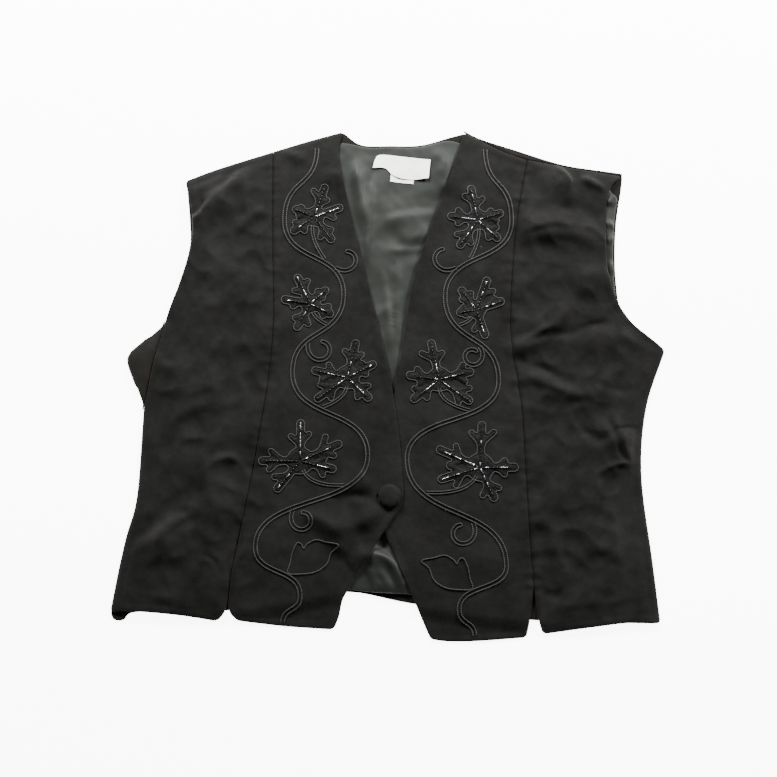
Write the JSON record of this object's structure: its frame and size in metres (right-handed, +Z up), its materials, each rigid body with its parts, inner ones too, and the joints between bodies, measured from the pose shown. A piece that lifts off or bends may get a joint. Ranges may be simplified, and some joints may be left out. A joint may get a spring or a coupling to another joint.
{
  "type": "folk waistcoat",
  "caption": "Sleeveless V-neck folk waistcoat in dark velveteen, laid flat and buttoned, with couched cord vines, leaves, curls and buds on both fronts.",
  "frame": {"origin": "centre of the bounding box at the table, under the middle of the back", "axes": "+Z up from the table, +Y towards the neck, +X towards the wearer's left side; the front of the garment faces up"},
  "size_m": [0.508, 0.4798, 0.0154],
  "materials": {
    "front_cloth": "brownish-black velveteen with a short uneven nap",
    "back_cloth": "matt brownish-black cloth",
    "lining": "grey-green satin",
    "cord": "dull twisted cord, charcoal",
    "leaf_thread": "dense black stitching",
    "beads": "silver-lined and jet bugle beads",
    "label_tape": "white woven tape, blank",
    "button_cover": "covered in the front's velveteen"
  },
  "bodies": {
    "root": {"back": "back_cloth", "back_underarm_turn": "back_cloth", "back_shoulder_turn": "back_cloth", "back_lining": "lining", "right_front_side": "front_cloth", "right_front_centre": "front_cloth", "left_front_side": "front_cloth", "left_front_centre": "front_cloth", "button": "button_cover", "label": "label_tape", "size_label": "label_tape", "right_vine": "cord", "right_leaf_1": "leaf_thread", "right_leaf_2": "leaf_thread", "right_leaf_3": "leaf_thread", "right_leaf_4": "leaf_thread", "right_stem_1": "cord", "right_stem_2": "cord", "right_stem_3": "cord", "right_stem_4": "cord", "right_curl_1": "cord", "right_curl_2": "cord", "right_curl_3": "cord", "right_bud": "cord", "left_vine": "cord", "left_leaf_1": "leaf_thread", "left_leaf_2": "leaf_thread", "left_leaf_3": "leaf_thread", "left_leaf_4": "leaf_thread", "left_stem_1": "cord", "left_stem_2": "cord", "left_stem_3": "cord", "left_stem_4": "cord", "left_curl_1": "cord", "left_curl_2": "cord", "left_curl_3": "cord", "left_bud": "cord"}
  },
  "joints": []
}
